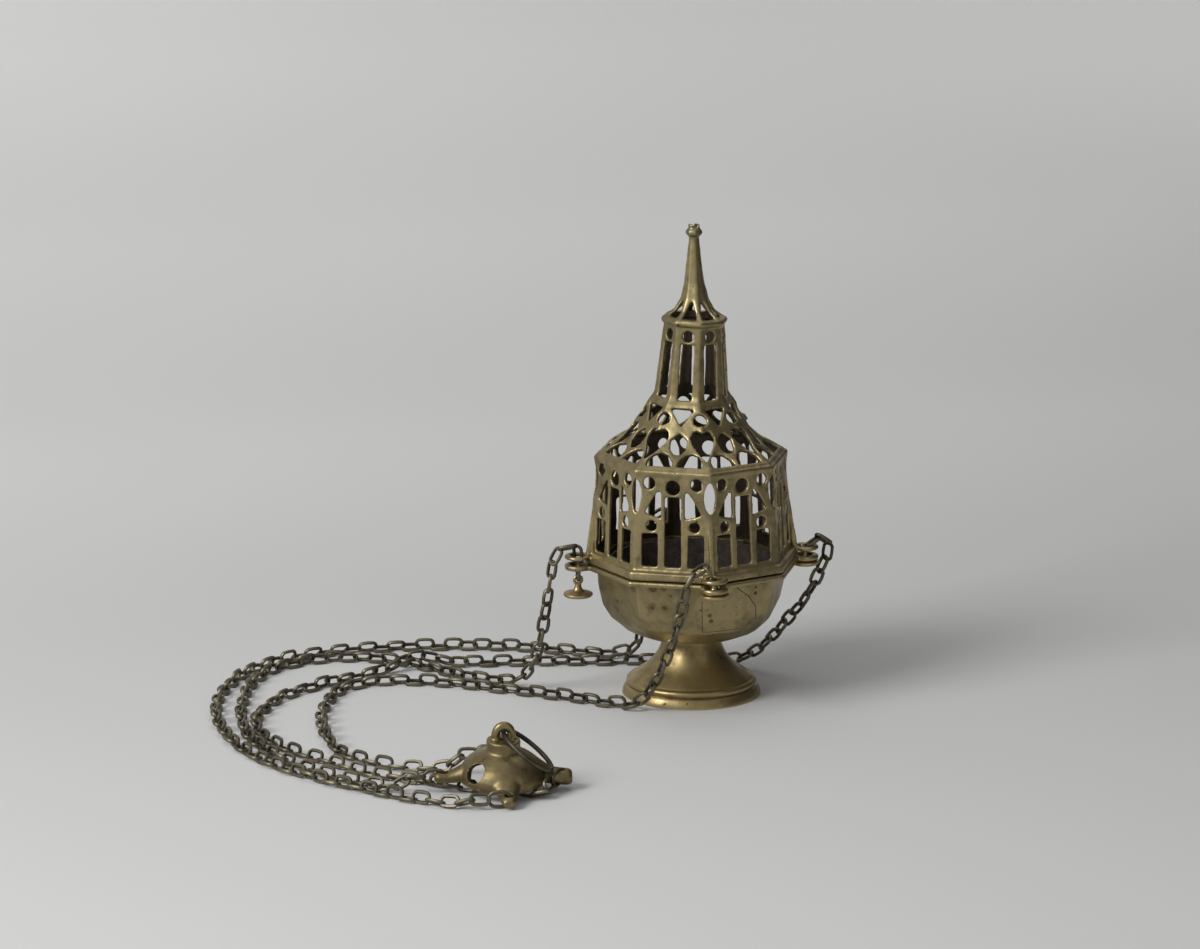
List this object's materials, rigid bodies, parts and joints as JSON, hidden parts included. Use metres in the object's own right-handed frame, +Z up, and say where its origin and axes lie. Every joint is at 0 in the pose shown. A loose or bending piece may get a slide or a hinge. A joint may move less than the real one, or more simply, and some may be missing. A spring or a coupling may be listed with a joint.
{
  "type": "thurible",
  "caption": "Gothic brass censer on a round foot with a pierced sliding lid, hung on chains from an armed hand plate with a carrying ring",
  "frame": {"origin": "on the ground, below the middle of the box round the thurible, its buttons and the hand plate as they lie; the thurible's own axis stands 44 mm to the right of it and 61 mm behind it", "axes": "+Z up along the thurible's axis, +X to the viewer's right and -Y to the front, where the hand plate lies; the lugs point along X and Y"},
  "size_m": [0.3162, 0.2907, 0.2413],
  "materials": {
    "cast_brass": "aged cast brass, rubbed bright on the edges, brown in the hollows",
    "chain_brass": "dark tarnished brass wire",
    "iron": "dark, dull and sooty"
  },
  "bodies": {
    "base": {"foot": "cast_brass", "foot_rivet": "cast_brass", "bowl": "cast_brass", "chain_front_drop": "chain_brass", "chain_front_run": "chain_brass", "chain_front_return": "chain_brass", "chain_right_drop": "chain_brass", "chain_right_run": "chain_brass", "chain_right_return": "chain_brass", "chain_back_drop": "chain_brass", "chain_back_run": "chain_brass", "chain_back_return": "chain_brass", "chain_left_drop": "chain_brass", "chain_left_run": "chain_brass", "chain_left_return": "chain_brass"},
    "lid": {"lid_drum": "cast_brass", "lid_roof": "cast_brass", "lid_lantern": "cast_brass", "lid_ring_mould": "cast_brass", "lid_spire": "cast_brass"},
    "coal_pan": {"coal_pan": "iron"},
    "button_front": {"button_front": "cast_brass", "end_link_front": "chain_brass"},
    "button_right": {"button_right": "cast_brass", "end_link_right": "chain_brass"},
    "button_back": {"button_back": "cast_brass", "end_link_back": "chain_brass"},
    "button_left": {"button_left": "cast_brass", "end_link_left": "chain_brass"},
    "hand_plate": {"hand_plate": "cast_brass", "arm_link_front": "chain_brass", "arm_link_right": "chain_brass", "arm_link_back": "chain_brass", "arm_link_left": "chain_brass"},
    "carrying_ring": {"carrying_ring": "chain_brass"}
  },
  "joints": [
    {"name": "lid_lift", "type": "slide", "parent": "base", "child": "lid", "axis": [0, 0, 1], "range_m": [0, 0.1], "deforming": ["chain_front_drop", "chain_front_run", "chain_right_drop", "chain_right_run", "chain_back_drop", "chain_back_run", "chain_left_drop", "chain_left_run"]},
    {"name": "coal_pan_lift", "type": "slide", "parent": "base", "child": "coal_pan", "axis": [0, 0, 1], "range_m": [0, 0.04]},
    {"name": "button_front_slide", "type": "slide", "parent": "base", "child": "button_front", "axis": [0, 0, 1], "range_m": [-0.008, 0]},
    {"name": "button_right_slide", "type": "slide", "parent": "base", "child": "button_right", "axis": [0, 0, 1], "range_m": [-0.008, 0]},
    {"name": "button_back_slide", "type": "slide", "parent": "base", "child": "button_back", "axis": [0, 0, 1], "range_m": [-0.008, 0]},
    {"name": "button_left_slide", "type": "slide", "parent": "base", "child": "button_left", "axis": [0, 0, 1], "range_m": [0, 0.0114]},
    {"name": "handle_lift", "type": "slide", "parent": "base", "child": "hand_plate", "axis": [0, 0, 1], "range_m": [0, 0.1], "deforming": ["chain_front_return", "chain_right_return", "chain_back_return", "chain_left_return"]},
    {"name": "ring_swing", "type": "hinge", "parent": "hand_plate", "child": "carrying_ring", "pos_m": [-0.07743, -0.09694, 0.02947], "axis": [-0.052, -0.9932, -0.1045], "range_deg": [0, 250]}
  ]
}
